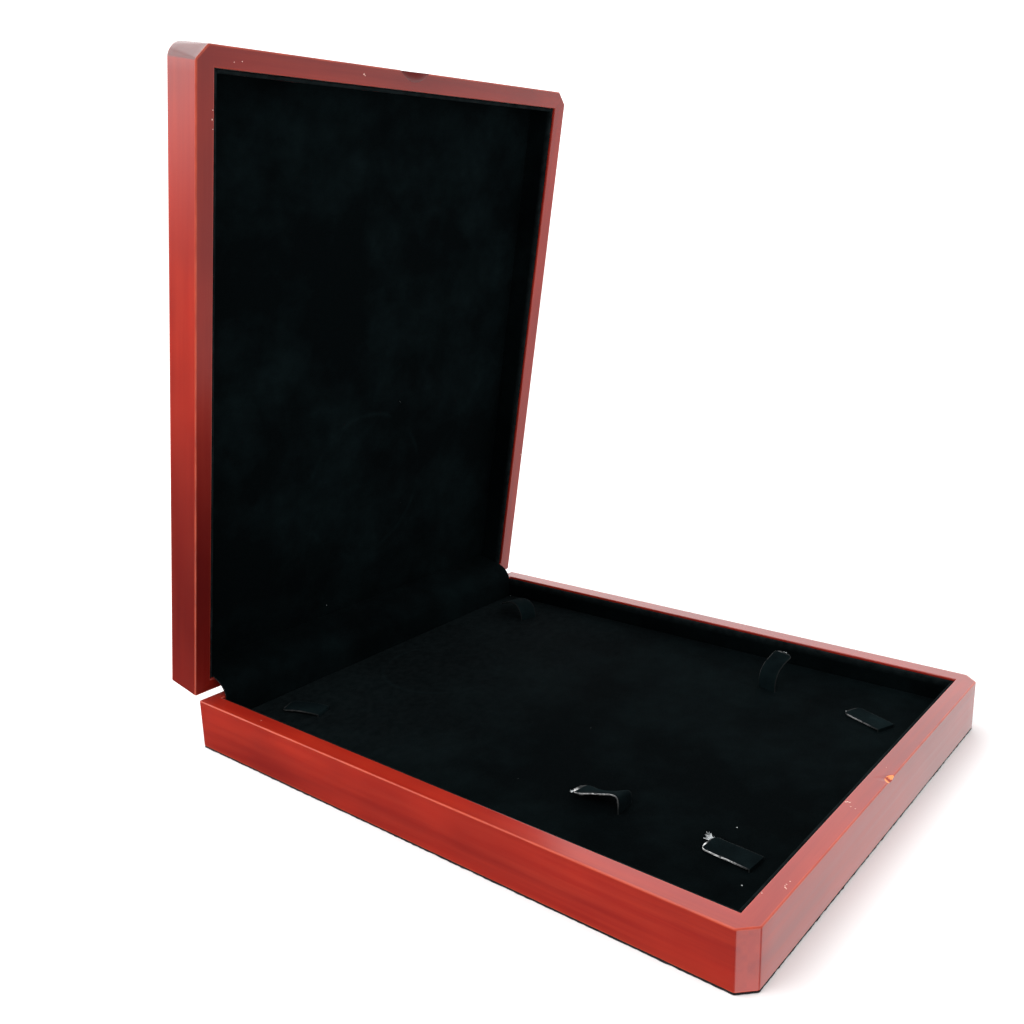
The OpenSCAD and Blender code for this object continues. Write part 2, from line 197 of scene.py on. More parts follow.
class Nodes:
    """The node tree of a new material, or of a world, with short ways to add the usual nodes."""

    def __init__(self, name, world=None):
        self.material = world or bpy.data.materials.new(name)
        self.material.use_nodes = True
        self.tree = self.material.node_tree
        self.tree.nodes.clear()
        self.shader = self.add("ShaderNodeBackground" if world else "ShaderNodeBsdfPrincipled")
        output = self.add("ShaderNodeOutputWorld" if world else "ShaderNodeOutputMaterial")
        self.tree.links.new(self.shader.outputs[0], output.inputs["Surface"])

    def add(self, kind, inputs=None, **settings):
        """A node. Its inputs are given by name or number, as a value or another node's output."""
        node = self.tree.nodes.new(kind)
        for key, value in settings.items():
            setattr(node, key, value)
        for key, value in (inputs or {}).items():
            self.give(node, key, value)
        return node

    def give(self, node, key, value):
        if isinstance(value, bpy.types.NodeSocket):
            self.tree.links.new(value, node.inputs[key])
        else:
            node.inputs[key].default_value = value

    def set(self, **inputs):
        """Sets the shader's inputs, with _ for each space in their names."""
        for key, value in inputs.items():
            self.give(self.shader, key.replace("_", " "), value)

    def place(self, attribute=None):
        """A point's place: a stored attribute, or else the point in the piece's own mesh."""
        if attribute:
            return self.add("ShaderNodeAttribute", attribute_name=attribute).outputs["Vector"]
        return self.add("ShaderNodeTexCoord").outputs["Object"]

    def stored(self, attribute):
        return self.add("ShaderNodeAttribute", attribute_name=attribute).outputs["Fac"]

    def stretch(self, vector, scale):
        return self.add("ShaderNodeVectorMath", {0: vector, 1: scale}, operation="MULTIPLY").outputs[0]

    def noise(self, vector, scale, detail=3.0, roughness=0.5):
        inputs = {"Vector": vector, "Scale": scale, "Detail": detail, "Roughness": roughness}
        return self.add("ShaderNodeTexNoise", inputs).outputs["Fac"]

    def spots(self, vector, scale):
        """Distance to the nearest of many scattered points."""
        return self.add("ShaderNodeTexVoronoi", {"Vector": vector, "Scale": scale}).outputs["Distance"]

    def maths(self, operation, a, b=0.0):
        return self.add("ShaderNodeMath", {0: a, 1: b}, operation=operation, use_clamp=False).outputs[0]

    def remap(self, value, low, high, to_low=0.0, to_high=1.0):
        inputs = {0: value, 1: low, 2: high, 3: to_low, 4: to_high}
        return self.add("ShaderNodeMapRange", inputs).outputs[0]

    def blend(self, share, a, b):
        """A colour between a and b."""
        inputs = {0: share, 6: a, 7: b}
        return self.add("ShaderNodeMix", inputs, data_type="RGBA").outputs[2]

    def bump(self, height, distance, strength=1.0, under=None):
        inputs = {"Height": height, "Distance": distance, "Strength": strength}
        if under is not None:
            inputs["Normal"] = under
        return self.add("ShaderNodeBump", inputs).outputs["Normal"]


def rgb(red, green, blue):
    return (red, green, blue, 1.0)


def lacquered_wood(name, painted_shade=0.0, coat=1.0):
    """Cherry-red stained wood under satin lacquer, paler along its eased edges, part wear and part painted
    highlight. The stored darkening is part stain, part painted shade; the shade argument paints shade over
    all of it, as in a hollow.
    """
    n = Nodes(name)
    grain = n.place("grain")
    streaks = n.noise(n.stretch(grain, (16, 420, 420)), 1.0, detail=4.0, roughness=0.6)
    bands = n.noise(n.stretch(grain, (6, 90, 90)), 1.0, detail=2.0)
    cloud = n.noise(n.place(), 22.0, detail=2.0)
    deep = n.blend(n.remap(bands, 0.35, 0.68), rgb(0.25, 0.009, 0.0045), rgb(0.36, 0.016, 0.006))
    streaked = n.blend(n.remap(streaks, 0.38, 0.72, 0.0, 0.55), deep, rgb(0.4, 0.03, 0.011))
    clouded = n.blend(n.remap(cloud, 0.4, 0.68, 0.0, 0.42), streaked, rgb(0.15, 0.005, 0.004))
    # Darker where the stored value says, part stain and part painted shade, and all over by the painted
    # shade of a hollow where asked.
    darkness = n.maths("MAXIMUM", n.stored("darkening"), painted_shade)
    stained_and_shaded = n.blend(darkness, clouded, rgb(0.055, 0.0015, 0.0015))
    patchy = n.remap(n.noise(grain, 90.0, detail=2.0), 0.35, 0.6, 0.25, 0.5)
    # Paler eased edges: part worn lacquer, part painted highlight where the rounding catches the light.
    edged = n.blend(n.maths("MULTIPLY", n.stored("wear_and_highlight"), patchy), stained_and_shaded, rgb(0.58, 0.08, 0.03))
    near_chip = n.remap(n.spots(grain, 420.0), 0.07, 0.12, 1.0, 0.0)
    rare = n.remap(n.noise(grain, 75.0), 0.66, 0.68)
    chip = n.maths("MULTIPLY", n.maths("MULTIPLY", near_chip, rare), n.stored("wear_and_highlight"))
    colour = n.blend(chip, edged, rgb(0.85, 0.55, 0.46))
    ripple = n.noise(grain, 170.0, detail=1.0)
    pores = n.noise(n.stretch(grain, (40, 1500, 1500)), 1.0, detail=2.0)
    normal = n.bump(ripple, 0.00002, under=n.bump(pores, 0.000004))
    n.set(Base_Color=colour, Normal=normal, Specular_IOR_Level=0.1)
    n.set(Coat_Weight=coat, Coat_Roughness=0.2, Coat_IOR=1.4)
    n.set(Roughness=n.remap(streaks, 0.3, 0.7, 0.42, 0.52))
    return n.material


def raw_wood():
    """The nick in the base's front edge: raw wood at both ends, stain left in the middle."""
    n = Nodes("raw_wood")
    where = n.place()
    grain = n.noise(n.stretch(where, (200, 1500, 1500)), 1.0, detail=3.0)
    across = n.maths("ABSOLUTE", n.add("ShaderNodeSeparateXYZ", {0: where}).outputs["X"])
    uneven = n.maths("ADD", across, n.remap(grain, 0.3, 0.7, -0.5 * MM, 0.5 * MM))
    bare = n.remap(uneven, 0.5 * MM, 1.3 * MM)
    n.set(Base_Color=n.blend(bare, rgb(0.3, 0.02, 0.01), rgb(0.9, 0.3, 0.1)), Roughness=0.6)
    n.set(Normal=n.bump(grain, 0.00005))
    return n.material


def velvet(name, marks=(), coordinates=None, lift=1.0):
    """Short black pile. Each mark is a brushed arc: its centre, its radius and its strength."""
    n = Nodes(name)
    where = n.place(coordinates)
    nap = n.noise(where, 26.0, detail=5.0, roughness=0.62)
    fine = n.noise(where, 160.0, detail=3.0)
    share = n.maths("MULTIPLY", n.remap(nap, 0.42, 0.66), n.remap(fine, 0.25, 0.75, 0.5, 1.0))
    for centre, radius, strength in marks:
        away = n.add("ShaderNodeVectorMath", {0: where, 1: centre}, operation="DISTANCE")
        off = n.maths("ABSOLUTE", n.maths("SUBTRACT", away.outputs["Value"], radius))
        line = n.remap(off, 0.0, 1.5 * MM, strength, 0.0)
        broken = n.maths("MULTIPLY", line, n.remap(n.noise(where, 60.0), 0.45, 0.6))
        share = n.maths("ADD", share, broken)
    dark = rgb(0.0006 * lift, 0.0012 * lift, 0.0014 * lift)
    pale = rgb(0.0018 * lift, 0.0037 * lift, 0.0041 * lift)
    # Painted light: a paler pile along the linings' rounded tops, as painted sheen, and towards the back of
    # the pad.
    painted_light = n.maths("MULTIPLY", n.stored("painted_light"), n.remap(n.noise(where, 330.0), 0.3, 0.65, 0.25, 1.0))
    colour = n.blend(painted_light, n.blend(share, dark, pale), rgb(0.011, 0.015, 0.016))
    pile = n.noise(where, 2600.0, detail=1.0)
    normal = n.bump(pile, 0.00025, 0.5, n.bump(nap, 0.0012, 0.4))
    n.set(Base_Color=colour, Normal=normal, Roughness=0.95)
    n.set(Specular_IOR_Level=0.01, Sheen_Weight=0.008, Sheen_Roughness=0.4)
    n.set(Sheen_Tint=rgb(0.55, 0.9, 1.0))
    return n.material


def cut_edge(name, pale):
    """The cut edge of velvet ribbon, where the backing and broken threads show."""
    n = Nodes(name)
    where = n.place("grain")
    threads = n.noise(n.stretch(where, (900, 900, 900)), 1.0, detail=2.0)
    patches = n.noise(where, 330.0, detail=1.0)
    share = n.maths("MULTIPLY", n.remap(threads, 0.3, 0.6), n.remap(patches, 0.35, 0.6, 0.45, 1.0))
    # Pale where it frays, fading towards a tab's root as painted shade.
    fray_and_root_shade = n.maths("MULTIPLY", share, n.stored("fray_and_root_shade"))
    n.set(Base_Color=n.blend(fray_and_root_shade, rgb(0.004, 0.006, 0.0065), rgb(pale, pale, pale)))
    n.set(Normal=n.bump(threads, 0.0001), Roughness=0.9, Specular_IOR_Level=0.2)
    return n.material


def felt():
    """Matted black felt."""
    n = Nodes("black_felt")
    where = n.place()
    matted = n.noise(n.stretch(where, (700, 700, 300)), 1.0, detail=5.0, roughness=0.7)
    n.set(Base_Color=n.blend(matted, rgb(0.003, 0.003, 0.0035), rgb(0.022, 0.022, 0.024)))
    n.set(Normal=n.bump(matted, 0.0004, 0.8), Roughness=0.97, Specular_IOR_Level=0.15)
    n.set(Sheen_Weight=0.05, Sheen_Roughness=0.5)
    return n.material


def board(name, dark, pale, scale, roughness=0.85):
    """Pressed board, card or foam, speckled at the given scale."""
    n = Nodes(name)
    where = n.place()
    speck = n.noise(where, scale, detail=4.0, roughness=0.65)
    n.set(Base_Color=n.blend(speck, dark, pale), Normal=n.bump(speck, 0.0001, 0.6), Roughness=roughness)
    return n.material


def metal(name, clean, tarnish, scratch):
    """Drawn or stamped metal, lightly tarnished. scratch stretches its fine scratches."""
    n = Nodes(name)
    where = n.place()
    darkening = n.noise(where, 320.0, detail=4.0, roughness=0.6)
    lines = n.noise(n.stretch(where, scratch), 1.0, detail=2.0)
    n.set(Base_Color=n.blend(n.remap(darkening, 0.42, 0.7), clean, tarnish), Metallic=1.0)
    n.set(Roughness=n.remap(darkening, 0.3, 0.7, 0.22, 0.45), Normal=n.bump(lines, 0.00001, 0.6))
    return n.material


def flake():
    """A chip in the lacquer, down to the pale primer."""
    n = Nodes("chipped_lacquer")
    speck = n.noise(n.place(), 1800.0, detail=2.0)
    n.set(Base_Color=n.blend(speck, rgb(0.6, 0.22, 0.16), rgb(0.88, 0.66, 0.58)), Roughness=0.7)
    return n.material


def lint():
    """A pale fibre of dust."""
    n = Nodes("lint")
    speck = n.noise(n.place(), 2500.0)
    n.set(Base_Color=n.blend(speck, rgb(0.5, 0.55, 0.57), rgb(0.88, 0.9, 0.9)), Roughness=0.9)
    return n.material


WOOD = lacquered_wood("lacquered_wood")
# The scoop's wood is painted much darker: painted shade in the hollow.
SCOOP_SHADED_WOOD = lacquered_wood("scooped_wood_painted_shade", painted_shade=0.85, coat=0.12)
RAW_WOOD = raw_wood()
LINING_VELVET = velvet("lining_velvet", lift=1.1)
COVER_VELVET = velvet("cover_velvet", coordinates="grain", lift=1.5)
# The tabs' velvet is painted lighter than the rest: painted light on tabs that face the lamps.
TAB_VELVET_PAINTED_LIGHTER = velvet("tab_velvet", coordinates="grain", lift=3.2)
COVER_EDGE = cut_edge("cover_cut_edge", 0.03)
FELT = felt()
CHIP = flake()
LINT = lint()
BRASS = metal("hinge_brass", rgb(0.80, 0.58, 0.25), rgb(0.42, 0.27, 0.11), (2600, 90, 90))
SCREW_BRASS = metal("screw_brass", rgb(0.84, 0.63, 0.30), rgb(0.48, 0.32, 0.14), (400, 400, 400))
STEEL = metal("pin_steel", rgb(0.60, 0.59, 0.57), rgb(0.32, 0.29, 0.26), (90, 2600, 2600))
FIBREBOARD = board("fibreboard", rgb(0.24, 0.15, 0.08), rgb(0.46, 0.33, 0.2), 900.0)
CARD = board("grey_card", rgb(0.2, 0.19, 0.18), rgb(0.36, 0.35, 0.33), 700.0)
FOAM = board("foam_sheet", rgb(0.5, 0.5, 0.48), rgb(0.72, 0.72, 0.7), 1500.0, 0.95)


# ---- plans of the case -----------------------------------------------------------------------

def case_plan(inset, fuller=0.0):
    """
    Plan of the case pulled in by inset: six rounded corners of CORNER_STEPS + 1 points each.
    fuller takes that much less off at the cut corners, and rounds them instead.
    """
    cut = CORNER_CUT - fuller
    corners = [
        (-HALF_W, -HALF_D + cut), (-HALF_W + cut, -HALF_D),
        (HALF_W - cut, -HALF_D), (HALF_W, -HALF_D + cut),
        (HALF_W, HALF_D), (-HALF_W, HALF_D),
    ]
    corners = [Vector(c) for c in corners]
    roundings = [CORNER_EDGE + fuller / math.tan(math.pi / 8)] * 4 + [BACK_ROUND] * 2
    least = 0.05 * MM
    points = []
    for i, (corner, rounding) in enumerate(zip(corners, roundings)):
        before = (corner - corners[i - 1]).normalized()
        after = (corners[(i + 1) % 6] - corner).normalized()
        in_before, in_after = before.orthogonal(), after.orthogonal()
        across = (in_before + in_after) / (1 + in_before.dot(in_after))
        radius = max(rounding - inset, least)
        centre = corner + across * (inset + radius)
        turn = in_before.angle_signed(in_after)
        for k in range(CORNER_STEPS + 1):
            spoke = in_before.copy()
            spoke.rotate(Matrix.Rotation(-turn * k / CORNER_STEPS, 2))
            points.append(centre - spoke * radius)
    return points


def inner_plan(grow):
    """Plan of the space inside the rails, grown, with as many points as case_plan has."""
    x, front, back = INNER_X + grow, INNER_FRONT - grow, INNER_BACK + grow
    corners = [(-x, front), (-x, front), (x, front), (x, front), (x, back), (-x, back)]
    return [Vector(c) for c in corners for _ in range(CORNER_STEPS + 1)]


# ---- wooden rails ----------------------------------------------------------------------------

def eased_corner(radius):
    """Points round a square edge: distance along the first face, along the second, and how much paler it is
    painted, part wear and part painted highlight.
    """
    points = [(radius + 2 * EDGE_MARGIN, 0, 0), (radius + EDGE_MARGIN, 0, 0.35)]
    for i in range(EDGE_STEPS + 1):
        turn = i / EDGE_STEPS * math.pi / 2
        points.append((radius * (1 - math.sin(turn)), radius * (1 - math.cos(turn)), 1))
    points += [(0, radius + EDGE_MARGIN, 0.35), (0, radius + 2 * EDGE_MARGIN, 0)]
    return points


def rail_section(rim, far, panel, far_edge, fuller):
    """Rings round a half's frame: from the far face over the outside, the rim and the inside."""
    up = 1 if far > rim else -1
    rings = [(case_plan(a, fuller), far - up * b, wear_and_highlight) for a, b, wear_and_highlight in eased_corner(far_edge)]
    side_from = far - up * (far_edge + 2 * EDGE_MARGIN)
    side_to = rim + up * (RIM_EDGE + 2 * EDGE_MARGIN)
    for k in range(1, SIDE_STEPS):
        share = k / SIDE_STEPS
        rings.append((case_plan(0, fuller * (1 - share)), side_from + (side_to - side_from) * share, 0))
    rings += [(case_plan(b), rim + up * a, wear_and_highlight) for a, b, wear_and_highlight in eased_corner(RIM_EDGE)]
    rings += [(inner_plan(a), rim + up * b, wear_and_highlight * 0.25) for a, b, wear_and_highlight in eased_corner(INNER_EDGE)]
    rings += [(inner_plan(0), panel, 0), (inner_plan(REBATE), panel, 0)]
    rings += [(inner_plan(REBATE), far - up * 0.2 * MM, 0), (inner_plan(REBATE + 0.2 * MM), far, 0)]
    return rings


def frame_ring(rim, far, panel, far_edge, fuller):
    """All four rails of a half as one mesh, with how pale each point's edge is painted: part wear, part
    painted highlight.
    """
    bm = bmesh.new()
    wear_and_highlight_layer = bm.verts.layers.float.new("wear_and_highlight")
    section = rail_section(rim, far, panel, far_edge, fuller)
    rows = loft(bm, [[(p.x, p.y, z) for p in plan] for plan, z, _ in section], along=True)
    for row, (_, _, wear_and_highlight) in zip(rows, section):
        for vertex in row:
            vertex[wear_and_highlight_layer] = wear_and_highlight
    tidy(bm)
    return bm


OUTER = {
    "fl": (-HALF_W, -HALF_D), "fr": (HALF_W, -HALF_D),
    "br": (HALF_W, HALF_D), "bl": (-HALF_W, HALF_D),
}
INNER = {
    "fl": (-INNER_X, INNER_FRONT), "fr": (INNER_X, INNER_FRONT),
    "br": (INNER_X, INNER_BACK), "bl": (-INNER_X, INNER_BACK),
}
RAILS = {
    "front": ("fl", "fr", (0, -HALF_D)), "right": ("fr", "br", (HALF_W, 0)),
    "back": ("br", "bl", (0, HALF_D)), "left": ("bl", "fl", (-HALF_W, 0)),
}


def close_up(bm):
    """Fills every hole."""
    bmesh.ops.holes_fill(bm, edges=[e for e in bm.edges if e.is_boundary], sides=0)
    bmesh.ops.recalc_face_normals(bm, faces=bm.faces)


def cut_across(bm, at, normal, drop):
    """Cuts the mesh along a plane, and drops what lies on the plane's far side if drop is set."""
    everything = bm.verts[:] + bm.edges[:] + bm.faces[:]
    bmesh.ops.bisect_plane(
        bm, geom=everything, plane_co=at, plane_no=normal, clear_outer=drop, dist=2e-6)


def mitre(bm, corner, keep):
    """Cuts off what lies beyond a corner's mitre, on the other side from the point keep."""
    at = Vector((*INNER[corner], 0))
    along = Vector((*OUTER[corner], 0)) - at
    normal = along.cross(Vector((0, 0, 1))).normalized()
    if normal.dot(Vector((*keep, 0)) - at) > 0:
        normal = -normal
    cut_across(bm, at, normal, True)
    close_up(bm)


# How much darker the lid is painted: along its rim part stain, part painted shade; near its left hinge end
# painted shade where the lid meets the base; on its cut corners stain on the ends of the grain.
LID_RIM_STAIN_AND_SHADE = 0.52
HINGE_END_SHADE = 0.62
CUT_CORNER_STAIN = 0.8      # on the lid's cut corners, across the ends of the grain


def stain_and_shade_of(name, point):
    """How much darker the wood is painted at a point, with the case shut: darkest near the lid's left hinge
    end, as painted shade where the lid meets the base.
    """
    if not name.startswith("lid"):
        return 0.0
    to_hinges = (point.y + HALF_D) / (2 * HALF_D)
    to_left = 0.5 - 0.5 * point.x / HALF_W
    on_rim = abs(point.z - LID_RIM) < 0.3 * MM
    if HALF_W + HALF_D - CORNER_CUT - abs(point.x) + point.y < 0.5 * MM:
        return CUT_CORNER_STAIN
    rim = on_rim * LID_RIM_STAIN_AND_SHADE * (1 - 0.5 * to_hinges) * max(to_left, math.exp(-to_hinges / 0.1))
    return rim + HINGE_END_SHADE * to_left * math.exp(-((to_hinges - 0.82) / 0.24) ** 2)


def store_grain(piece, name, side, seed):
    """Each point's place along and across the grain, which runs along the rail, and how much darker it is
    painted: part stain, part painted shade.
    """
    attributes = piece.data.attributes
    attributes.new("grain", "FLOAT_VECTOR", "POINT")
    attributes.new("darkening", "FLOAT", "POINT")
    grain, darkening = attributes["grain"].data, attributes["darkening"].data
    for vertex, place_value, stain_and_shade_value in zip(piece.data.vertices, grain, darkening):
        x, y, z = vertex.co
        place_value.vector = (y + seed, x, z) if side else (x + seed, y, z)
        stain_and_shade_value.value = stain_and_shade_of(name, vertex.co)


def carve(piece, cutter):
    """Cuts the cutter's shape out of a piece. The cut takes on the cutter's material."""
    use_modifier(piece, "BOOLEAN", operation="DIFFERENCE", solver="EXACT", object=cutter,
                 material_mode="TRANSFER")
    bpy.data.objects.remove(cutter)


def clear_wear_and_highlight(piece, centre, radius):
    """Takes the paler edge colour, part wear and part painted highlight, off where a ball was cut out."""
    for vertex, wear_and_highlight in zip(piece.data.vertices, piece.data.attributes["wear_and_highlight"].data):
        if (vertex.co - centre).length < radius + 0.05 * MM:
            wear_and_highlight.value = 0


def ball(centre, radius, material):
    """A cutter for a scoop."""
    bm = bmesh.new()
    bmesh.ops.create_icosphere(bm, subdivisions=6, radius=radius, matrix=Matrix.Translation(centre))
    return make_piece("ball", bm, material)


def blocks(boxes, material):
    """A cutter made of boxes, each a lowest and a highest corner."""
    bm = bmesh.new()
    for low, high in boxes:
        matrix = Matrix.Translation((low + high) / 2) @ Matrix.Diagonal((*(high - low), 1))
        bmesh.ops.create_cube(bm, size=1.0, matrix=matrix)
    return make_piece("blocks", bm, material)


LID_SCOOP_R, LID_SCOOP_DEPTH = 10 * MM, 3.8 * MM
LID_SCOOP = Vector((0, -HALF_D - LID_SCOOP_R + LID_SCOOP_DEPTH, LID_RIM))
BASE_NICK_R = 6 * MM
BASE_NICK = Vector((0, -HALF_D - 1.5 * MM, BASE_RIM + 4.9 * MM))
LEAF_T = 0.9 * MM
LEAF_REACH = 3.6 * MM
MORTISE_GAP = 0.3 * MM


def hinge_mortises():
    """The recesses in the base's back rail that take both leaves of each hinge."""
    top = LID_RIM + 1 * MM
    floor = LID_RIM - 2 * LEAF_T - 0.1 * MM
    found = []
    for side in ("left", "right"):
        low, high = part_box(side + "_hinge_base_leaf")
        found.append((
            Vector((low.x - MORTISE_GAP, HALF_D - LEAF_REACH - MORTISE_GAP, floor)),
            Vector((high.x + MORTISE_GAP, HALF_D + 1 * MM, top)),
        ))
    return found


# Where the rails' meshes are divided, from their middles, so that stored values run smoothly.
DIVIDED_AT = (3.4, 4.2, 8.2, 9.5, 22, 35, 48, 61, 74, 87, 102, 112)
RAIL_CUTS = [side * MM * at for side in (-1, 1) for at in DIVIDED_AT]


def build_frames():
    """The four rails of each half."""
    halves = {
        "base": (BASE_RIM, FELT_T, PANEL_TOP, FOOT_EDGE, 0.0),
        "lid": (LID_RIM, LID_TOP, LID_PANEL, TOP_EDGE, TOP_CORNER_FULLER),
    }
    seed = 0.0
    for body, dimensions in halves.items():
        whole = frame_ring(*dimensions)
        for rail, (first, second, keep) in RAILS.items():
            side = rail in ("left", "right")
            bm = whole.copy()
            mitre(bm, first, keep)
            mitre(bm, second, keep)
            for place_along in RAIL_CUTS:
                at = Vector((0, place_along, 0)) if side else Vector((place_along, 0, 0))
                cut_across(bm, at, at.normalized(), False)
            name = f"{body}_{rail}_rail"
            piece = make_piece(name + "_wood", bm, WOOD)
            if name == "base_back_rail":
                carve(piece, blocks(hinge_mortises(), WOOD))
            if name == "base_front_rail":
                carve(piece, ball(BASE_NICK, BASE_NICK_R, RAW_WOOD))
            if name == "lid_front_rail":
                # The scoop's cut takes the darker wood, painted shade in the hollow.
                carve(piece, ball(LID_SCOOP, LID_SCOOP_R, SCOOP_SHADED_WOOD))
                clear_wear_and_highlight(piece, LID_SCOOP, LID_SCOOP_R)
            store_grain(piece, name, side, seed)
            seed += 0.61
            if body == "lid":
                piece.data.transform(OPENED)
            piece.data.set_sharp_from_angle(angle=math.radians(35))
            place(piece, body, "lacquered_wood", name)
        whole.free()


def lid_panel():
    """The board that closes the lid, flush with its rails and lacquered with them."""
    bm = bmesh.new()
    wear_and_highlight = bm.verts.layers.float.new("wear_and_highlight")
    x, front, back = INNER_X + REBATE, INNER_FRONT - REBATE, INNER_BACK + REBATE
    ease = 0.15 * MM

    def ring(inset, z):
        return [(-x + inset, front + inset, z), (x - inset, front + inset, z),
                (x - inset, back - inset, z), (-x + inset, back - inset, z)]

    rows = loft(bm, [
        ring(0, LID_PANEL), ring(0, LID_TOP - ease), ring(ease, LID_TOP), ring(3 * ease, LID_TOP),
    ])
    for vertex in rows[2]:
        # The panel's eased top edge is painted half as pale: part wear, part painted highlight.
        vertex[wear_and_highlight] = 0.5
    tidy(bm)
    piece = make_piece("lid_top_panel_board", bm, WOOD)
    store_grain(piece, "lid_top_panel", True, 7.7)
    piece.data.transform(OPENED)
    place(piece, "lid", "lacquered_wood", "lid_top_panel")


build_frames()
lid_panel()


# ---- felt ------------------------------------------------------------------------------------

def base_felt():
    """The felt under the base, its cut edge a little ragged."""
    bm = bmesh.new()
    plan = case_plan(0.1 * MM)
    path = []
    for a, b in zip(plan, plan[1:] + plan[:1]):
        steps = max(1, int((b - a).length / (0.8 * MM)))
        path += [a.lerp(b, k / steps) for k in range(steps)]

    def ring(inset, z, ragged):
        points = []
        for p in path:
            out = Vector((p.x / HALF_W, p.y / HALF_D)).normalized()
            uneven = rough((p.x, p.y, 0), 1.6 * MM) + 0.5 * rough((p.x, p.y, 1), 5 * MM)
            shift = ragged * uneven - inset
            points.append((p.x + out.x * shift, p.y + out.y * shift, z))
        return points

    loft(bm, [ring(0.4 * MM, 0, 0.1 * MM), ring(0.05 * MM, 0.15 * MM, 0.25 * MM),
              ring(-0.05 * MM, 0.4 * MM, 0.3 * MM), ring(0.1 * MM, FELT_T, 0.2 * MM)])
    tidy(bm)
    piece = make_piece("base_felt_sheet", bm, FELT)
    place(piece, "base", "black_felt", "base_felt")


base_felt()


# ---- velvet wall linings ---------------------------------------------------------------------

def wall_lining(name, body, start, end, inward, foot, top):
    """Velvet wrapped over a card that stands against a wall from start to end, plan points."""
    start, end, inward = Vector((*start, 0)), Vector((*end, 0)), Vector((*inward, 0))
    up = 1 if top > foot else -1
    height = abs(top - foot)
    radius = LINING_T / 2
    section = [(0, 0), (0, height * 0.5), (0, height - radius)]
    arc = range(len(section), len(section) + 6)
    for k in range(1, 7):
        turn = k / 6 * math.pi
        section.append((radius - radius * math.cos(turn), height - radius + radius * math.sin(turn)))
    section += [(LINING_T, height * share) for share in (0.8, 0.6, 0.4, 0.2, 0.0)]
    length = (end - start).length
    count = int(length / (2.5 * MM))
    rings = []
    for i in range(count + 1):
        at = start.lerp(end, i / count)
        ring = []
        for depth, z in section:
            spot = (at.x, at.y, z)
            slack = 0.12 * MM * rough(spot, 14 * MM, 3) + 0.05 * MM * rough(spot, 3 * MM, 5)
            grow = slack if depth > radius * 0.5 else 0
            sag = 0.14 * MM * rough((at.x, at.y, 0), 18 * MM, 8) if z > height - radius else 0
            ring.append(at + inward * (depth + grow) + Vector((0, 0, foot + up * (z + sag))))
        rings.append(ring)
    bm = bmesh.new()
    painted_light = bm.verts.layers.float.new("painted_light")
    # The rounded top is painted paler, as painted sheen.
    for row in loft(bm, rings):
        for k in arc:
            row[k][painted_light] = 0.7
    tidy(bm)
    piece = make_piece(name + "_wrap", bm, LINING_VELVET, sharp_deg=60)
    if body == "lid":
        piece.data.transform(OPENED)
    place(piece, body, "black_velvet", name)


def build_linings():
    """Left, right and front linings of both halves. The front ones stand between the side ones."""
    for body, foot, top in (("base", PANEL_TOP, LINING_TOP), ("lid", LID_PANEL, LID_LINING_TOP)):
        for side, word in ((-1, "left"), (1, "right")):
            wall_lining(f"{body}_{word}_lining_velvet", body, (side * INNER_X, INNER_FRONT),
                        (side * INNER_X, INNER_BACK), (-side, 0), foot, top)
        x = INNER_X - LINING_T
        wall_lining(f"{body}_front_lining_velvet", body, (-x, INNER_FRONT),
                    (x, INNER_FRONT), (0, 1), foot, top)


build_linings()


# ---- pad and lid floor -----------------------------------------------------------------------

class Tab:
    """A hold-down tab's place, from its joint: the middle of its root, its direction and its width."""

    def __init__(self, name):
        joint = next(j for j in frame["joints"] if j["child"] == name)
        self.name = name
        self.root = Vector(joint["pos_m"])
        self.across = Vector(joint["axis"])
        self.along = Vector((-self.across.y, self.across.x, 0))
        self.half_w = 4.5 * MM


TABS = [Tab(joint["child"]) for joint in frame["joints"] if joint["child"].startswith("tab_")]


def away_from_slit(point):
    """Distance in plan from a point to the nearest tab's slit."""
    least = 1.0
    for tab in TABS:
        rest = Vector((point[0], point[1], 0)) - Vector((tab.root.x, tab.root.y, 0))
        beyond = max(abs(rest.dot(tab.across)) - tab.half_w, 0)
        least = min(least, math.hypot(beyond, rest.dot(tab.along)))
    return least


PAD_STEP = 3 * MM
PAD_EDGE = 1.4 * MM
PAD_CROWN = 0.25 * MM       # the furthest that the simulation may raise or lower a point
PAD_BORDER = 12 * MM        # width of the border where the swelling fades out


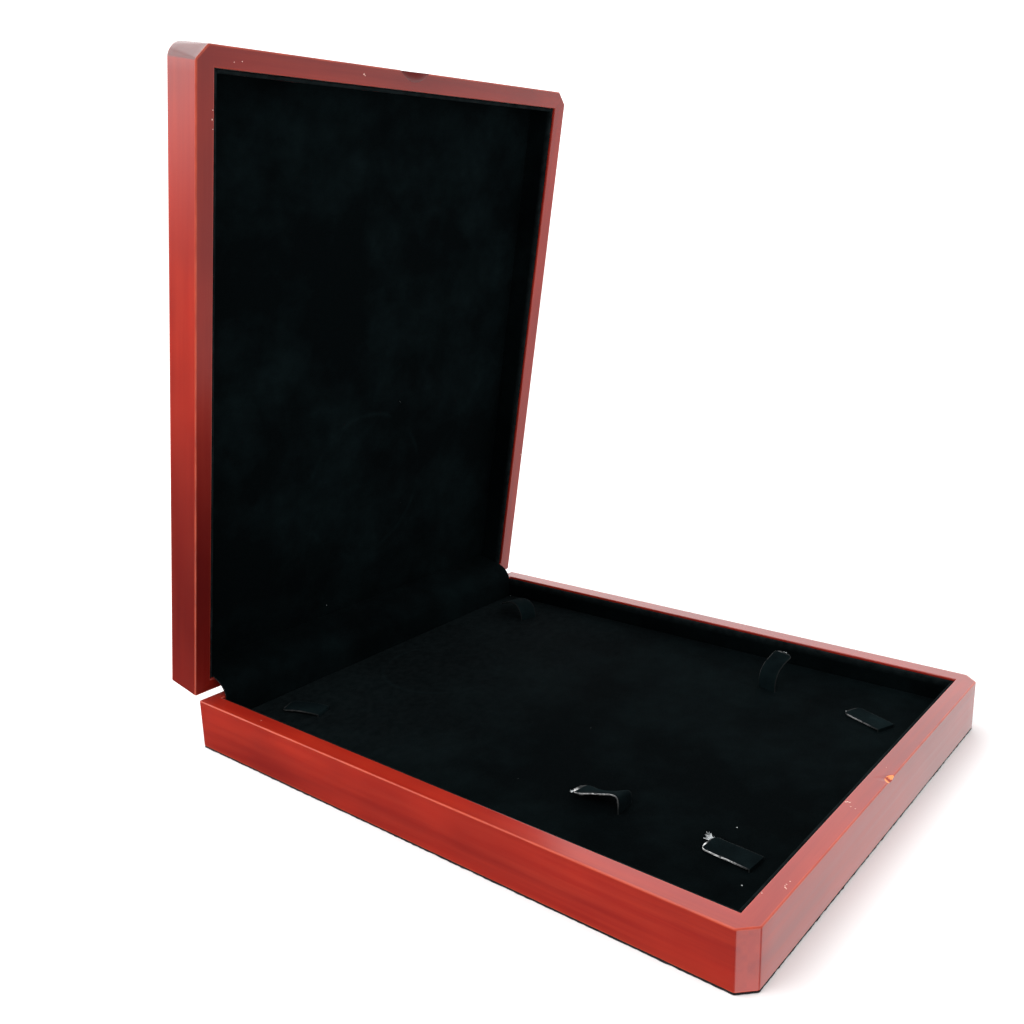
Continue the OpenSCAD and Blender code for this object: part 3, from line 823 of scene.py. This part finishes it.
def pad_block(low, high):
    """A block with a fine top and a rounded upper edge, and the rows of its top points."""
    bm = bmesh.new()
    nx = round((high.x - low.x - 2 * PAD_EDGE) / PAD_STEP)
    ny = round((high.y - low.y - 2 * PAD_EDGE) / PAD_STEP)

    def border(grow, z):
        """Points round the edge of the top, moved outwards by grow."""
        x0, x1 = low.x + PAD_EDGE - grow, high.x - PAD_EDGE + grow
        y0, y1 = low.y + PAD_EDGE - grow, high.y - PAD_EDGE + grow
        corners = [(x0, y0, nx), (x1, y0, ny), (x1, y1, nx), (x0, y1, ny)]
        points = []
        for i, (x, y, steps) in enumerate(corners):
            to_x, to_y, _ = corners[(i + 1) % 4]
            for k in range(steps):
                points.append((x + (to_x - x) * k / steps, y + (to_y - y) * k / steps, z))
        return points

    def sheet(z):
        """A grid over the top or the bottom."""
        x0, x1 = low.x + PAD_EDGE, high.x - PAD_EDGE
        y0, y1 = low.y + PAD_EDGE, high.y - PAD_EDGE
        rows = [
            [bm.verts.new((x0 + (x1 - x0) * i / nx, y0 + (y1 - y0) * j / ny, z)) for i in range(nx + 1)]
            for j in range(ny + 1)
        ]
        for j in range(ny):
            for i in range(nx):
                bm.faces.new((rows[j][i], rows[j][i + 1], rows[j + 1][i + 1], rows[j + 1][i]))

    sheet(high.z)
    sheet(low.z)
    rings = [border(0, high.z)]
    for k in range(1, 4):
        turn = k / 3 * math.pi / 2
        rings.append(border(PAD_EDGE * math.sin(turn), high.z - PAD_EDGE * (1 - math.cos(turn))))
    rings += [border(PAD_EDGE, (low.z + high.z) / 2), border(PAD_EDGE, low.z), border(0, low.z)]
    loft(bm, rings, caps=False)
    tidy(bm)
    return bm


def inflate(piece):
    """Swells the pad's cloth a little with a cloth simulation, held at its foot and at the slits."""
    start = [v.co.copy() for v in piece.data.vertices]
    held = piece.vertex_groups.new(name="held")
    for index, point in enumerate(start):
        if point.z < PAD_HIGH.z - 2 * PAD_EDGE or away_from_slit(point) < 2.5 * MM:
            held.add([index], 1.0, "REPLACE")
    cloth = piece.modifiers.new("cloth", "CLOTH")
    cloth.settings.vertex_group_mass = "held"
    cloth.settings.use_pressure = True
    cloth.settings.uniform_pressure_force = 4.0
    cloth.settings.effector_weights.gravity = 0.0
    cloth.settings.tension_stiffness = 25.0
    for number in range(1, 21):
        scene.frame_set(number)
    result = piece.evaluated_get(bpy.context.evaluated_depsgraph_get())
    moved = [v.co.copy() for v in result.data.vertices]
    piece.modifiers.clear()
    scene.frame_set(1)
    for vertex, before, after in zip(piece.data.vertices, start, moved):
        rise = max(-PAD_CROWN, min(after.z - before.z, PAD_CROWN))
        from_side = min(before.x - PAD_LOW.x, PAD_HIGH.x - before.x)
        from_end = min(before.y - PAD_LOW.y, PAD_HIGH.y - before.y)
        share = max(0, min(from_side, from_end, PAD_BORDER)) / PAD_BORDER
        vertex.co = before + Vector((0, 0, rise * share))


def slit_cutter(material):
    """The six slits that the tabs come out of."""
    bm = bmesh.new()
    half_w, half_len, deep = 0.36 * MM, 4.5 * MM, 2.8 * MM
    for tab in TABS:
        rings = []
        for z in (PAD_HIGH.z - deep, PAD_HIGH.z + 3 * MM):
            ring = []
            for k in range(16):
                turn = k / 16 * 2 * math.pi
                end = half_len - half_w if math.sin(turn) >= 0 else half_w - half_len
                at = tab.along * half_w * math.cos(turn) + tab.across * (end + half_w * math.sin(turn))
                ring.append(Vector((tab.root.x, tab.root.y, z)) + at)
            rings.append(ring)
        loft(bm, rings)
    tidy(bm)
    return make_piece("slits", bm, material)


def base_pad():
    """The velvet pad in the base, over foam and a board, with its slits."""
    high = PAD_HIGH - Vector((0, 0, 0.15 * MM))
    ring = Vector((-4 * MM, 78 * MM, PAD_HIGH.z))
    material = velvet("pad_velvet", marks=[(ring, 26 * MM, 1.0)], lift=1.15)
    piece = make_piece("base_pad_cushion", pad_block(PAD_LOW, high), material)
    inflate(piece)
    use_modifier(piece, "SUBSURF", levels=1, render_levels=1)
    for vertex in piece.data.vertices:
        if vertex.co.z > PAD_HIGH.z - PAD_EDGE:
            dent = 0.18 * MM * math.exp(-(away_from_slit(vertex.co) / (2.2 * MM)) ** 2)
            vertex.co.z += 0.07 * MM * rough(vertex.co, 24 * MM, 2) - dent
    carve(piece, slit_cutter(material))
    # The back of the pad is painted paler: painted light against the shadow there.
    painted_light_share = piece.data.attributes.new("painted_light", "FLOAT", "POINT").data
    for vertex, value in zip(piece.data.vertices, painted_light_share):
        value.value = 0.35 * min(max(vertex.co.y / INNER_BACK, 0), 1)
    piece.data.shade_smooth()
    piece.data.set_sharp_from_angle(angle=math.radians(50))
    place(piece, "base", "black_velvet", "base_pad_velvet")


def lid_floor():
    """The velvet glued over the lid's floor, almost flat, its edges turned down to the card."""
    bm = bmesh.new()
    step = 2.5 * MM
    margin = 0.6 * MM
    low, high = FLOOR_LOW, FLOOR_HIGH
    nx, ny = round((high.x - low.x) / step), round((high.y - low.y) / step)
    rings = []
    for j in range(ny + 1):
        y = low.y + (high.y - low.y) * j / ny
        face, back = [], []
        for i in range(nx + 1):
            x = low.x + (high.x - low.x) * i / nx
            edge = min(i, nx - i, j, ny - j)
            swell = 0.1 * MM * rough((x, y, 0), 30 * MM, 4) + 0.04 * MM * rough((x, y, 0), 9 * MM, 6)
            drop = margin * 0.4 if edge == 0 else 0
            face.append((x, y, low.z + swell + drop))
            back.append((x, y, high.z))
        rings.append(face + back[::-1])
    loft(bm, rings)
    tidy(bm)
    centre = OPENED @ Vector((0, HALF_D - 66 * MM, low.z))
    material = velvet("lid_floor_velvet_pile", marks=[(centre, 34 * MM, 0.55)], lift=1.6)
    piece = make_piece("lid_floor_velvet_sheet", bm, material)
    piece.data.transform(OPENED)
    place(piece, "lid", "black_velvet", "lid_floor_velvet")


base_pad()
lid_floor()


# ---- velvet strip over the hinges ------------------------------------------------------------

COVER_BULGE = 0.7           # 0 is a straight strip between the rims, 1 follows both walls
COVER_STEPS = 16


def cover_path(away):
    """Side view of the strip's surface, a distance from the walls, and how free each point is."""
    y = INNER_BACK - away
    leave = Vector((0, y, BASE_RIM))
    land = OPENED @ Vector((0, y, LID_RIM))
    into_lid = (OPENED @ Vector((0, y, LID_RIM + 1 * MM)) - land).normalized()
    corner = land - into_lid * ((land.y - y) / into_lid.y)
    middle = (leave + land) / 2
    bend = middle + COVER_BULGE * (corner - middle)
    path = [(Vector((0, y, PANEL_TOP + (BASE_RIM - PANEL_TOP) * k / 6)), 0.0) for k in range(6)]
    for k in range(COVER_STEPS + 1):
        t = k / COVER_STEPS
        point = (1 - t) ** 2 * leave + 2 * t * (1 - t) * bend + t * t * land
        path.append((point, math.sin(math.pi * t)))
    depth = FLOOR_HIGH.z - LID_RIM
    path += [(OPENED @ Vector((0, y, LID_RIM + depth * k / 6)), 0.0) for k in range(1, 7)]
    return path


def hinge_cover():
    """The strip glued to both back walls, free between the two rims so that the lid can turn."""
    face, back = cover_path(VELVET_T), cover_path(0.05 * MM)
    bm = bmesh.new()
    grain = bm.verts.layers.float_vector.new("grain")
    fray_and_root_shade_layer = bm.verts.layers.float.new("fray_and_root_shade")
    count = 72
    rings = []
    for i in range(count + 1):
        x = -COVER_HALF_W + 2 * COVER_HALF_W * i / count
        slack = 0.35 * MM * rough((x, 0, 0), 11 * MM, 9) + 0.15 * MM * rough((x, 0, 0), 4 * MM, 1)
        ring = []
        for point, free in face + back[::-1]:
            ripple = Vector((0, -1, 0.35)) * slack * free
            ring.append(Vector((x, 0, 0)) + point + ripple)
        rings.append(ring)
    rows = loft(bm, rings)
    bm.faces.ensure_lookup_table()
    for cap in bm.faces[-2:]:
        cap.material_index = 1
    for row in rows:
        for vertex in row:
            vertex[grain] = vertex.co
            vertex[fray_and_root_shade_layer] = 1.0
    bmesh.ops.triangulate(bm, faces=bm.faces[-2:])
    bmesh.ops.recalc_face_normals(bm, faces=bm.faces)
    piece = make_piece("hinge_cover_strip", bm, COVER_VELVET, COVER_EDGE, sharp_deg=60)
    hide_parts("hinge_cover")
    start = Vector((0, INNER_BACK, BASE_RIM))
    end = OPENED @ Vector((0, INNER_BACK, LID_RIM))
    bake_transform(piece, "base", "lid", start=start, end=end)


hinge_cover()


# ---- hold-down tabs --------------------------------------------------------------------------

# Each tab's side view as a cubic curve of (distance, height) points, how far its near edge is
# rolled up in degrees, how pale its cut edge is, and how much of that shows round the free end.
TAB_SHAPES = {
    "tab_front_left": (((0, 0), (6, 0), (12, 0), (17.5, 0)), 0, 0.85, 1.0),
    "tab_front_right": (((0, 0), (6, 0), (12, 0), (17.5, 0)), 0, 0.3, 0.1),
    "tab_middle_left": (((0, 0), (-0.5, 9), (3, 1), (19, 0.6)), 20, 0.95, 0.8),
    "tab_middle_right": (((0, 0), (-0.3, 7), (3, 9.5), (10.4, 12.6)), 0, 0.1, 1.0),
    "tab_back_left": (((0, 0), (3, 0.9), (11, 0.9), (17, 0)), 0, 0.05, 0.5),
    "tab_back_right": (((0, 0), (0.4, 7.2), (9, 8.6), (19, 2.2)), 0, 0.01, 0.2),
}
TAB_T = 0.55 * MM
TAB_ROUND = 2.2 * MM        # rounding of the free end's corners
TAB_STEPS = 34
FAR_EDGE_FRAY = 0.05        # how much of the pale thread shows along a tab's right-hand edge
ROOT_SHADE_SPAN = 0.5             # share of a tab's length, from the root, over which the pale cut edge fades in: painted shade down towards the slit
TAB_ACROSS = (-1, -0.96, -0.7, -0.35, 0, 0.35, 0.7, 0.96, 1)
TAIL = 2.6 * MM             # length of a tab's tail, down in its slit


def cubic(curve, t):
    """A point of a cubic curve of four (distance, height) points in millimetres."""
    weights = ((1 - t) ** 3, 3 * (1 - t) ** 2 * t, 3 * (1 - t) * t * t, t ** 3)
    return Vector([sum(w * p[i] for w, p in zip(weights, curve)) * MM for i in range(2)])


def ribbon_line(curve):
    """Side view of a tab: its tail in the slit, then its curve, as (distance, height) points."""
    tail = [Vector((0, -TAIL + 0.5 * MM * k)) for k in range(5)]
    body = [cubic(curve, k / TAB_STEPS) for k in range(TAB_STEPS + 1)]
    body[0] = Vector((0.03 * MM, 0.05 * MM))
    return tail + body


def tab_ribbon(tab):
    """A velvet ribbon with pale, frayed cut edges and a rounded end."""
    curve, roll_deg, pale, end_fray = TAB_SHAPES[tab.name]
    line = ribbon_line(curve)
    lengths = [0.0]
    for a, b in zip(line, line[1:]):
        lengths.append(lengths[-1] + (b - a).length)
    bm = bmesh.new()
    grain = bm.verts.layers.float_vector.new("grain")
    fray_and_root_shade_layer = bm.verts.layers.float.new("fray_and_root_shade")
    rings, marks = [], []
    for k, at in enumerate(line):
        ahead = line[min(k + 1, len(line) - 1)] - line[max(k - 1, 0)]
        normal = Vector((-ahead.y, ahead.x)).normalized()
        left = lengths[-1] - lengths[k]
        half = tab.half_w - 0.15 * MM + 0.1 * MM * rough((lengths[k], tab.root.x, 0), 2 * MM, 2)
        if left < TAB_ROUND:
            half -= TAB_ROUND - math.sqrt(max(TAB_ROUND ** 2 - (TAB_ROUND - left) ** 2, 0))
        out = max(lengths[k] - TAIL, 0) / (lengths[-1] - TAIL)
        roll = math.radians(roll_deg) * math.sin(math.pi * min(out, 0.85))
        across = tab.across * math.cos(roll) - Vector((0, 0, math.sin(roll)))
        ring, spots = [], []
        for sign in (1, -1):
            for share in TAB_ACROSS[::sign]:
                curl = 0.12 * MM * rough((lengths[k], share * half, tab.root.y), 6 * MM, 4)
                thick = TAB_T / 2 * (0.75 if abs(share) == 1 else 1)
                side = at + normal * (sign * thick + curl)
                middle = tab.root + tab.along * side.x
                ring.append(middle + across * share * half + Vector((0, 0, side.y)))
                edge_fray = 1.0 if share < 0 else FAR_EDGE_FRAY
                if left < TAB_ROUND:
                    edge_fray *= end_fray
                place_on = Vector((lengths[k], share * half + tab.root.x, sign * TAB_T))
                # The pale edge fades in from the root: painted shade down towards the slit.
                spots.append((place_on, edge_fray * min(out / ROOT_SHADE_SPAN, 1) ** 1.5))
        rings.append(ring)
        marks.append(spots)
    rows = loft(bm, rings)
    for row, spots in zip(rows, marks):
        for vertex, (place_on, amount) in zip(row, spots):
            vertex[grain] = place_on
            vertex[fray_and_root_shade_layer] = amount
    bm.faces.ensure_lookup_table()
    count = len(TAB_ACROSS)
    strips = (0, count - 2, count - 1, count, 2 * count - 2, 2 * count - 1)
    end_rings = 2 * count * (len(rings) - 2)
    for index, face in enumerate(bm.faces):
        if index % (2 * count) in strips or index >= end_rings:
            face.material_index = 1
    bmesh.ops.recalc_face_normals(bm, faces=bm.faces)
    edge = cut_edge(tab.name + "_cut_edge", pale)
    piece = make_piece(tab.name + "_ribbon", bm, TAB_VELVET_PAINTED_LIGHTER, edge, sharp_deg=60)
    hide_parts(tab.name)
    start = tab.root + Vector((0, 0, -0.8 * MM))
    end = tab.root + Vector((0, 0, 0.2 * MM)) + tab.along * 0.6 * MM
    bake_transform(piece, "base", tab.name, start=start, end=end)


def thread(bm, start, way, length, radius, bend):
    """A fibre from a point, curling away from its first direction."""
    side = way.orthogonal().normalized()
    other = way.cross(side).normalized()
    rings = []
    steps = 6
    for k in range(steps + 1):
        t = k / steps
        centre = start + way * length * t + bend * length * t * t
        size = radius * (1 - 0.5 * t)
        rings.append([centre + size * (side * math.cos(a) + other * math.sin(a))
                      for a in (0, 2 * math.pi / 3, 4 * math.pi / 3)])
    loft(bm, rings)


def tab_threads(tab, corner, count, length, spread, seed):
    """Broken threads near a corner of a tab's free end, and back from it over the given spread."""
    draw = random.Random(seed)
    end = cubic(TAB_SHAPES[tab.name][0], 1.0)
    tip = tab.root + tab.along * end.x + Vector((0, 0, end.y))
    tip += tab.across * corner * (tab.half_w - 2.0 * MM)
    bm = bmesh.new()
    for _ in range(count):
        back = spread * draw.random() ** 2
        start = tip + tab.across * (draw.uniform(-1.1, 0.9) * MM + corner * back) - tab.along * back
        way = tab.along + tab.across * draw.uniform(-0.9, 0.9)
        way = (way + Vector((0, 0, draw.uniform(0.0, 0.5)))).normalized()
        bend = Vector((draw.uniform(-0.5, 0.5), draw.uniform(-0.5, 0.5), draw.uniform(-0.1, 0.4)))
        thread(bm, start, way, length * draw.uniform(0.5, 1.0), 0.07 * MM, bend)
    bmesh.ops.recalc_face_normals(bm, faces=bm.faces)
    piece = make_piece(tab.name + "_threads", bm, LINT)
    place(piece, tab.name, "tab_velvet")


# A tab's broken threads: the side of its free end, how many, how long, and how far back they start.
THREADS = {
    "tab_front_left": (1, 40, 2.0 * MM, 0.5 * MM),
    "tab_middle_right": (0, 12, 0.7 * MM, 0.3 * MM),
    "tab_middle_left": (-1, 14, 0.8 * MM, 0.6 * MM),
    "tab_front_right": (-1, 3, 0.8 * MM, 0.5 * MM),
}
for number, tab in enumerate(TABS):
    tab_ribbon(tab)
    if tab.name in THREADS:
        tab_threads(tab, *THREADS[tab.name], seed=number + 11)


# ---- chips and dust --------------------------------------------------------------------------

# Groups of chips and of dust, in millimetres of the shut case: the middle of the group along x
# and y, how far it spreads each way, how many spots it has, and the size of the largest.
BASE_CHIPS = (
    (-23, -117, 2, 2, 5, 0.35), (-74, -119, 2.5, 0.5, 5, 0.3), (-82, -115, 1, 0, 1, 0.3),
    (6, -118, 1, 1, 1, 0.2), (-96, 87, 1, 1, 1, 0.2),
)
LID_CHIPS = (
    (-25, -118, 2, 1, 2, 0.35), (-80, -117, 6, 1, 2, 0.2), (-93.5, -99, 0.2, 5, 4, 0.25),
    (99, 55, 0, 1, 1, 0.6),
)
PAD_DUST = ((-43, -88, 1, 1, 1, 0.2), (-70, -103, 1, 1, 1, 0.2), (-10, -20, 50, 60, 3, 0.1))
LID_DUST = ((-19, 110, 1, 1, 1, 0.2), (0, 20, 60, 50, 2, 0.1))


def specks(name, body, slot, material, groups, height, up):
    """Small flat flakes scattered in groups on a level surface, facing up (1) or down (-1)."""
    draw = random.Random(name)
    bm = bmesh.new()
    for x, y, spread_x, spread_y, count, largest in groups:
        for _ in range(count):
            at_x = (x + draw.uniform(-spread_x, spread_x)) * MM
            at_y = (y + draw.uniform(-spread_y, spread_y)) * MM
            size = largest * draw.uniform(0.5, 1.0) * MM
            turn = draw.uniform(0, math.tau)
            outline = []
            for k in range(7):
                angle = turn + k / 7 * math.tau
                reach = size * draw.uniform(0.6, 1.2)
                outline.append((at_x + reach * math.cos(angle), at_y + reach * math.sin(angle)))
            loft(bm, [[(px, py, height - up * 0.35 * MM) for px, py in outline],
                      [(px, py, height + up * 0.05 * MM) for px, py in outline]])
    tidy(bm)
    piece = make_piece(name, bm, material)
    if body == "lid":
        piece.data.transform(OPENED)
    place(piece, body, slot)


specks("base_rim_chips", "base", "lacquered_wood", CHIP, BASE_CHIPS, BASE_RIM, 1)
specks("lid_rim_chips", "lid", "lacquered_wood", CHIP, LID_CHIPS, LID_RIM, -1)
specks("pad_dust", "base", "black_velvet", LINT, PAD_DUST, PAD_HIGH.z + 0.1 * MM, 1)
specks("lid_dust", "lid", "black_velvet", LINT, LID_DUST, FLOOR_LOW.z, -1)


# ---- hinges and what lies hidden -------------------------------------------------------------

CARRIED_OVER = {
    "_hinge_base_leaf": BRASS, "_hinge_lid_leaf": BRASS, "_hinge_pin": STEEL,
    "_screws": SCREW_BRASS, "_lining_card": CARD, "_floor_card": CARD,
    "base_bottom_panel": FIBREBOARD, "base_pad_board": FIBREBOARD, "base_pad_foam": FOAM,
}
for node, obj in frame["nodes"].items():
    for ending, material in CARRIED_OVER.items():
        if node.endswith(ending):
            obj.data.materials.clear()
            obj.data.materials.append(material)


# ---- floor, light and camera -----------------------------------------------------------------

def studio_floor():
    """A plain pale floor. The lacquer reflects the room instead of it, as if on a light table."""
    bm = bmesh.new()
    bmesh.ops.create_grid(bm, x_segments=8, y_segments=8, size=20.0)
    n = Nodes("studio_floor")
    n.set(Base_Color=rgb(0.92, 0.92, 0.92), Roughness=0.9, Specular_IOR_Level=0.1)
    floor = make_piece("studio_floor", bm, n.material)
    floor.visible_glossy = False


def area_light(name, at, aim, size, power):
    light = bpy.data.lights.new(name, "AREA")
    light.shape = "RECTANGLE"
    light.size, light.size_y = size
    light.energy = power
    lamp = bpy.data.objects.new(name, light)
    lamp.location = at
    lamp.rotation_euler = (Vector(aim) - Vector(at)).to_track_quat("-Z", "Y").to_euler()
    scene.collection.objects.link(lamp)


# Soft lamps of the room and one black panel: direction, half the angle that each fills in degrees,
# and brightness.
LAMPS = (
    ((-0.51, 0.82, 0.38), 20, 2.5),
    ((-0.51, 0.82, -0.25), 26, -1.2),
    ((0.0, 0.73, 0.69), 26, 2.0),
    ((0.80, 0.36, 0.48), 45, 0.8),
    ((0.83, -0.38, -0.41), 45, 1.05),
    ((-0.34, -0.71, -0.61), 32, 3.4),
)
ROOM_ABOVE = 1.12
ROOM_BELOW = 0.05


def surroundings():
    """A white room, darker below the floor line, with some soft lamps."""
    world = bpy.data.worlds.new("room")
    n = Nodes("room", world)
    way = n.add("ShaderNodeTexCoord").outputs["Generated"]
    height = n.add("ShaderNodeSeparateXYZ", {0: way}).outputs["Z"]
    level = n.remap(height, -0.2, -0.01, ROOM_BELOW, ROOM_ABOVE)
    for aim, half_angle, brightness in LAMPS:
        towards = Vector(aim).normalized()
        share = n.add("ShaderNodeVectorMath", {0: way, 1: towards}, operation="DOT_PRODUCT")
        edge, core = math.cos(math.radians(half_angle)), math.cos(math.radians(half_angle * 0.4))
        level = n.maths("ADD", level, n.remap(share.outputs["Value"], edge, core, 0.0, brightness))
    n.set(Color=rgb(1.0, 1.0, 1.0), Strength=n.maths("MAXIMUM", level, 0.02))
    scene.world = world


CAMERA_AT = (-0.31637, -0.22304, 0.19831)
CAMERA_TURN_DEG = (75.07, 1.649, -50.956)
CAMERA_LENS = 36.55


def camera():
    data = bpy.data.cameras.new("camera")
    data.lens = CAMERA_LENS
    data.sensor_width = 36.0
    data.clip_start = 0.01
    eye = bpy.data.objects.new("camera", data)
    eye.location = CAMERA_AT
    eye.rotation_euler = [math.radians(turn) for turn in CAMERA_TURN_DEG]
    scene.collection.objects.link(eye)
    scene.camera = eye


studio_floor()
surroundings()
area_light("key", (-0.7, 0.35, 1.1), (0, 0, 0.05), (0.7, 0.7), 6.5)
camera()
